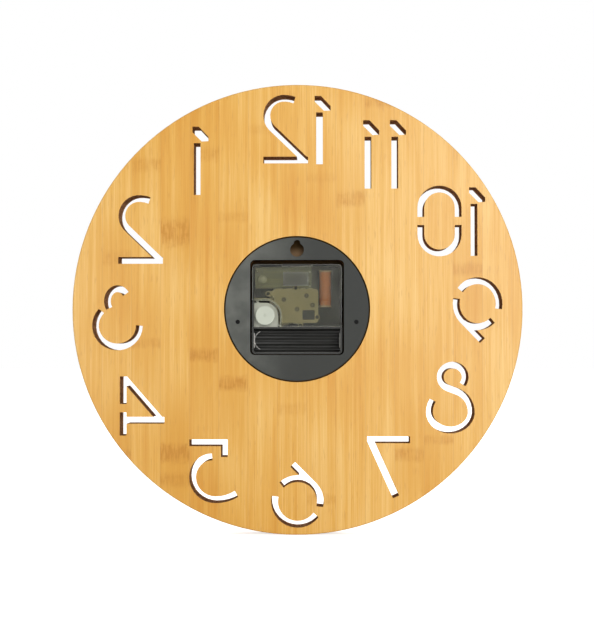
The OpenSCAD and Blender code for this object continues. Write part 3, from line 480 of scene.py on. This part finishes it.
# pale edge colour of the case: rubbed wear and a painted highlight
RUBBED_AND_HIGHLIT_EDGE = rgb(0.10, 0.10, 0.093)
# the bridge's top ends above the first of these depths, its floor lies below the second
FLOOR_DEPTH_MM = (-4.6, -5.1)


def repaint(material, share_of, new_colour):
    """Mixes a new colour over a finish, by the share that share_of makes from the place."""
    tree = material.node_tree
    skin_colour = tree.nodes["Group"].outputs["Colour"]
    share = share_of(tree, tree.nodes["Texture Coordinate"].outputs["Object"])
    mixed = mix_colour(tree, share, skin_colour, new_colour)
    tree.links.new(mixed, tree.nodes["Principled BSDF"].inputs["Base Color"])


def painted_left_sheen(tree, place):
    """Painted sheen: the plate is painted paler towards its left, as seen from behind, in patches.
    """
    towards = add_node(tree, "VectorMath", {0: place, 1: (1 / MM, 0, 0.15 / MM)},
                       operation="DOT_PRODUCT").outputs["Value"]
    sheen_patches = add_node(tree, "TexNoise", {"Vector": place, "Scale": 70.0, "Detail": 3.0})
    patchy = ramp(tree, sheen_patches.outputs["Fac"], 0.35, 0.65, 0.6, 1.1)
    return calc(tree, "MULTIPLY", ramp(tree, towards, -10, 46), patchy)


def pale_and_lit_floor_under_knob(tree, place):
    """The bridge's floor under the knob lies deeper than its top. It is painted paler: partly its
    own paler grey, partly painted light that makes up for the little light reaching into the deep
    well.
    """
    depth = add_node(tree, "SeparateXYZ", {0: place}).outputs["Y"]
    return ramp(tree, depth, FLOOR_DEPTH_MM[0] * MM, FLOOR_DEPTH_MM[1] * MM)


def rubbed_and_highlit_edges(tree, _):
    """The case's edges: rubbed pale by handling, and painted paler still as a painted highlight."""
    return use_group(tree, edge_mask, {"Width": 0.6 * MM})["Mask"]


repaint(plate_plastic, painted_left_sheen, PLATE_SHEEN_COLOUR)
repaint(cream_plastic, pale_and_lit_floor_under_knob, PALE_AND_LIT_FLOOR)
repaint(case_plastic, rubbed_and_highlit_edges, RUBBED_AND_HIGHLIT_EDGE)
for finish, names in FINISHES.items():
    for name in names:
        dress(name, finish)
print("Finishes:", len(FINISHES))

# %% [markdown]
# ## The smoky cover
# The cover is clear plastic with an olive grey tint, which is the shader's base colour. Plastic
# mirrors a little less than glass, so its index of refraction is 1.4. Noise moves the roughness,
# and the moulded rim is frosted: there the surface is rough, under a coat that catches the light.
# The raised panel on the cover has a hazier finish of the same kind.

# %% The cover's material
def smoky(name, tint, smooth, rough):
    """Clear tinted plastic, with a haze that moves its roughness."""
    material, tree, principled, place = new_material(
        name, Base_Color=rgb(*tint), Metallic=0.0, Transmission_Weight=1.0, IOR=1.4,
        Coat_IOR=1.9, Coat_Roughness=0.3)
    haze = add_node(tree, "TexNoise", {"Vector": place, "Scale": 90.0, "Detail": 3.0})
    clouded = ramp(tree, haze.outputs["Fac"], 0.3, 0.7, smooth, rough)
    rim = use_group(tree, edge_mask, {"Width": 1.2 * MM})["Mask"]
    frosted = add_node(tree, "Mix", {0: rim, 2: clouded, 3: 0.75}).outputs[0]
    tree.links.new(frosted, principled.inputs["Roughness"])
    tree.links.new(rim, principled.inputs["Coat Weight"])
    return material


cover_plastic = smoky("cover_plastic", (0.70, 0.70, 0.56), 0.10, 0.20)
frosted_plastic = smoky("frosted_plastic", (0.54, 0.54, 0.46), 0.30, 0.40)
dress("clear_cover", cover_plastic)
print("Cover and panel:", cover_plastic.name, "and", frosted_plastic.name)

# %% [markdown]
# ## Soft edges
# Every moulded or stamped edge has a tiny radius, and it shows as a thin bright line where it
# catches the light. The CAD solids have sharp edges and loose triangles. Modelling the radius by
# hand would replace the solids, so three live modifiers do it: Weld and Decimate join the
# triangles of each flat face, and Bevel rounds what is sharper than 40 degrees.

# %% Weld and bevel the pieces whose edges show
SOFT_EDGES_MM = {
    "back_plate": 0.35, "movement_case": 0.25, "clear_cover": 0.3, "gear_bridge": 0.12,
    "setting_knob": 0.15, "coil_bobbin": 0.15, "quartz_crystal": 0.2, "plate_screws": 0.1,
    "hex_nut": 0.15, "dial_washer": 0.1, "threaded_bush": 0.1, "hour_hand": 0.12,
    "minute_hand": 0.12, "second_hand": 0.1,
}
for name, width in SOFT_EDGES_MM.items():
    weld = nodes[name].modifiers.new("join_triangles", "WELD")
    weld.merge_threshold = 0.001 * MM
    flat = nodes[name].modifiers.new("join_flat_faces", "DECIMATE")
    flat.decimate_type = "DISSOLVE"
    flat.angle_limit = math.radians(1)
    bevel = nodes[name].modifiers.new("soft_edges", "BEVEL")
    bevel.width = width * MM
    bevel.segments = 2
    bevel.limit_method = "ANGLE"
    bevel.angle_limit = math.radians(40)
    bevel.harden_normals = True
print("Soft edges on", len(SOFT_EDGES_MM), "pieces")

# %% [markdown]
# ## Small forms that the CAD leaves out
# The winding's turns, the heads of the staked pins, the bearings in the bridge, the copper tracks
# with their solder, the thread of the bush and the raised panel on the cover are too small for the
# CAD, but they show from close by. Turned forms are spun from a short profile, and flat ones start
# as cubes that are scaled into place. All of them belong to the clock's fixed body.


# %% Helpers for new pieces
def finish_piece(name, bm, material, stands_for=()):
    """Turns a bmesh into a piece that rides on the clock's fixed body."""
    bmesh.ops.remove_doubles(bm, verts=bm.verts, dist=1e-7)
    bmesh.ops.recalc_face_normals(bm, faces=bm.faces)
    mesh = bpy.data.meshes.new(name)
    bm.to_mesh(mesh)
    bm.free()
    mesh.materials.append(material)
    mesh.shade_smooth()
    mesh.set_sharp_from_angle(angle=math.radians(35))
    piece = bpy.data.objects.new(name, mesh)
    bpy.context.scene.collection.objects.link(piece)
    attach(piece, "root")
    if stands_for:
        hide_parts(*stands_for)
    print(name, "has", len(mesh.polygons), "faces")


def turn(bm, profile, place, axis="Y", closed=False, steps=32):
    """Spins (radius, height) points, in mm, about an axis through place."""
    older = set(bm.verts)
    points = [bm.verts.new((radius * MM, 0, height * MM)) for radius, height in profile]
    ends = points[1:] + points[:1] if closed else points[1:]
    edges = [bm.edges.new(pair) for pair in zip(points, ends)]
    bmesh.ops.spin(bm, geom=points + edges, cent=(0, 0, 0), axis=(0, 0, 1), angle=math.tau,
                   steps=steps, use_merge=True)
    spun = [vert for vert in bm.verts if vert not in older]
    upright = Matrix.Rotation(-math.pi / 2, 4, "X") if axis == "Y" else Matrix.Identity(4)
    bmesh.ops.transform(bm, matrix=Matrix.Translation(Vector(place) * MM) @ upright, verts=spun)


def block(bm, low, high):
    """A box from its lowest to its highest corner, in mm."""
    low, high = Vector(low) * MM, Vector(high) * MM
    grown = Matrix.Translation((low + high) / 2) @ Matrix.Diagonal((*(high - low), 1))
    bmesh.ops.create_cube(bm, size=1, matrix=grown)


# %% The winding, turn beside turn
TURNS = 46
WIRE_BULGE = 0.14
INNER_R = 2.12
low, high = (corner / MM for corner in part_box("coil_winding"))
coil_centre = (low + high) / 2
outer_r = (high.x - low.x) / 2
pitch = (high.z - low.z) / TURNS
profile = [(INNER_R, low.z)]
for number in range(TURNS):
    profile.append((outer_r - WIRE_BULGE, low.z + pitch * number))
    profile.append((outer_r, low.z + pitch * (number + 0.5)))
profile += [(outer_r - WIRE_BULGE, high.z), (INNER_R, high.z)]
bm = bmesh.new()
turn(bm, profile, (coil_centre.x, coil_centre.y, 0), axis="Z", closed=True, steps=40)
finish_piece("winding_turns", bm, copper_enamel, ["coil_winding"])

# %% Heads of the staked pins and bearings of the bridge
BRIDGE_BACK = -3.0
CUP_FLOOR = -3.1
PINS = ((0.82, 13.26), (18.16, 9.59), (-12.55, -5.0), (-2.04, -10.2))
PIVOTS = ((0, 0), (8.25, 6.0), (-5.85, 8.36), (-9.66, 2.49))
HEAD_PROFILE = ((0, 0.5), (0.55, 0.44), (0.95, 0.26), (1.15, 0), (0, 0))
BEARING_PROFILE = ((0.15, 0.02), (0.15, 0.12), (0.9, 0.16), (0.9, 0.52),
                   (1.4, 0.52), (1.5, 0.42), (0.97, 0.42), (0.97, 0.02))
bm = bmesh.new()
for x, z in PINS:
    turn(bm, HEAD_PROFILE, (x, BRIDGE_BACK, z), steps=24)
finish_piece("staked_pin_heads", bm, case_plastic)
bm = bmesh.new()
for x, z in PIVOTS:
    turn(bm, BEARING_PROFILE, (x, CUP_FLOOR, z), closed=True, steps=24)
finish_piece("pivot_bearings", bm, bearing_plastic)

# %% Tracks and solder on the circuit board
TRACK_T = 0.05
TRACK_W = 0.5
UPRIGHT_TRACK_W = 0.4
LEAD_STEP = 0.7
CHIP_STEP = 1.0
BOARD_INSET = 1.2
SOLDER_PROFILE = ((0, 0.45), (0.3, 0.4), (0.55, 0.2), (0.75, 0.02), (0, 0.02))
low, high = (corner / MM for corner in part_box("circuit_board"))
chip_low, chip_high = (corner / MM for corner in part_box("driver_chip"))
crystal_low, crystal_high = (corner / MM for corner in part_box("quartz_crystal"))
chip = (chip_low + chip_high) / 2
crystal = (crystal_low + crystal_high) / 2
left, right = low.x + BOARD_INSET, high.x - BOARD_INSET
chip_left, chip_right = chip.x - CHIP_STEP, chip.x + CHIP_STEP
top_row, second_row, third_row = high.z - 1.5, high.z - 3.0, high.z - 3.2
bottom_row = low.z + 1.5
tracks = (
    ((crystal_high.x, crystal.z - LEAD_STEP), (chip.x, crystal.z - LEAD_STEP)),
    ((crystal_high.x, crystal.z + LEAD_STEP), (chip.x, crystal.z + LEAD_STEP)),
    ((left, bottom_row), (chip.x, bottom_row)),
    ((left, third_row), (chip_left, third_row)),
    ((chip_left, chip.z), (chip_left, top_row)),
    ((chip_right, chip.z), (chip_right, second_row)),
    ((chip_right, second_row), (right, second_row)),
    ((chip_left, top_row), (high.x - 7.0, top_row)),
)
bm = bmesh.new()
for (x0, z0), (x1, z1) in tracks:
    half = (TRACK_W if z0 == z1 else UPRIGHT_TRACK_W) / 2
    block(bm, (min(x0, x1) - half, high.y, min(z0, z1) - half),
          (max(x0, x1) + half, high.y + TRACK_T, max(z0, z1) + half))
finish_piece("circuit_tracks", bm, covered_track)
bm = bmesh.new()
soldered = [start for start, end in tracks[:4]] + [tracks[6][1]]
for x, z in soldered:
    turn(bm, SOLDER_PROFILE, (x, high.y, z), steps=20)
finish_piece("solder_joints", bm, solder)

# %% The thread on the end of the bush
THREAD_PITCH = 0.5
THREAD_STEPS = 48
THREAD_START = 0.03
THREAD_PROFILE = ((3.98, 0, 0.0), (4.16, 0, 0.12), (3.98, 0, 0.24))
bush_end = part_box("threaded_bush")[0].y / MM
bm = bmesh.new()
corners = [bm.verts.new(Vector(corner) * MM) for corner in THREAD_PROFILE]
edges = [bm.edges.new(pair) for pair in zip(corners, corners[1:] + corners[:1])]
bmesh.ops.spin(bm, geom=corners + edges, cent=(0, 0, 0), axis=(0, 0, 1), angle=math.tau,
               steps=THREAD_STEPS, dvec=(0, 0, THREAD_PITCH * MM / THREAD_STEPS))
bmesh.ops.holes_fill(bm, edges=bm.edges, sides=3)
seated = Matrix.Translation((0, (bush_end + THREAD_START) * MM, 0))
bmesh.ops.transform(bm, matrix=seated @ Matrix.Rotation(-math.pi / 2, 4, "X"), verts=bm.verts)
finish_piece("bush_thread", bm, brass)

# %% A plain raised panel on the cover
PANEL_X = (-7, 8.5)
PANEL_Z = (14.5, 23)
PANEL_LIFT = 0.01
PANEL_TOP = 0.15
cover_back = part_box("clear_cover")[1].y / MM
bm = bmesh.new()
block(bm, (PANEL_X[0], cover_back + PANEL_LIFT, PANEL_Z[0]),
      (PANEL_X[1], cover_back + PANEL_TOP, PANEL_Z[1]))
bmesh.ops.bevel(bm, geom=bm.edges, offset=0.06 * MM, segments=1, profile=0.5, affect="EDGES",
                material=-1)
finish_piece("cover_panel", bm, frosted_plastic)

# %% [markdown]
# ## Floor, world and lamps
# The floor is pale and the room is white. What the camera sees of the world, directly or through
# the clear cover, is at full white. Mirrored rays see less of it and diffuse rays least, so that
# the lamps can shape the object without clipping pale wood. Behind the clock stand a large key
# lamp, a sheen lamp whose reflection falls on the wood at the right and keeps off the cover, and a
# small fill from the left. One more key lamp lights the dial side.

# %% World
world = bpy.data.worlds.new("studio")
bpy.context.scene.world = world
world.use_nodes = True
tree = world.node_tree
background = tree.nodes["Background"]
background.inputs["Color"].default_value = rgb(1, 1, 1)
MIRRORED_SHARE = 0.8
DIFFUSE_SHARE = 0.55
path = add_node(tree, "LightPath").outputs
seen = calc(tree, "MAXIMUM", path["Is Camera Ray"], path["Is Transmission Ray"])
mirrored = calc(tree, "MULTIPLY", path["Is Glossy Ray"], MIRRORED_SHARE)
strength = calc(tree, "MAXIMUM", seen, calc(tree, "MAXIMUM", mirrored, DIFFUSE_SHARE))
tree.links.new(strength, background.inputs["Strength"])
bpy.context.scene.view_settings.view_transform = "Standard"
print("World strength for diffuse rays:", DIFFUSE_SHARE)

# %% Floor
FLOOR_SIZE = 8
FLOOR_GLOW = 0.7
mesh = bpy.data.meshes.new("floor")
bm = bmesh.new()
bmesh.ops.create_grid(bm, x_segments=1, y_segments=1, size=FLOOR_SIZE,
                      matrix=Matrix.Translation((0, 0, cad_box[0][2])))
bm.to_mesh(mesh)
bm.free()
floor = bpy.data.objects.new("floor", mesh)
bpy.context.scene.collection.objects.link(floor)
floor_white, tree, principled, _ = new_material(
    "floor_white", Base_Color=rgb(0.8, 0.8, 0.8), Roughness=0.9, Emission_Color=rgb(1, 1, 1))
path = add_node(tree, "LightPath").outputs
glow = calc(tree, "MULTIPLY", path["Is Camera Ray"], FLOOR_GLOW)
tree.links.new(glow, principled.inputs["Emission Strength"])
mesh.materials.append(floor_white)
print("Floor at", cad_box[0][2], "m")


# %% Lamps
def softbox(name, place, size, watts):
    """A large square lamp that faces the clock."""
    lamp = bpy.data.lights.new(name, "AREA")
    lamp.size = size
    lamp.energy = watts
    box = bpy.data.objects.new(name, lamp)
    box.location = place
    box.rotation_euler = (-Vector(place)).to_track_quat("-Z", "Y").to_euler()
    bpy.context.scene.collection.objects.link(box)


softbox("key_behind", (-0.9, 1.5, 1.0), 1.2, 7.2)
softbox("sheen_behind", (-0.475, 1.5, 0.22), 0.7, 8.2)
softbox("fill_behind", (0.6, 1.5, -0.05), 0.5, 4)
softbox("key_dial_side", (-0.9, -1.6, 0.9), 1.2, 20)
print("Lamps:", [lamp.name for lamp in bpy.data.lights])
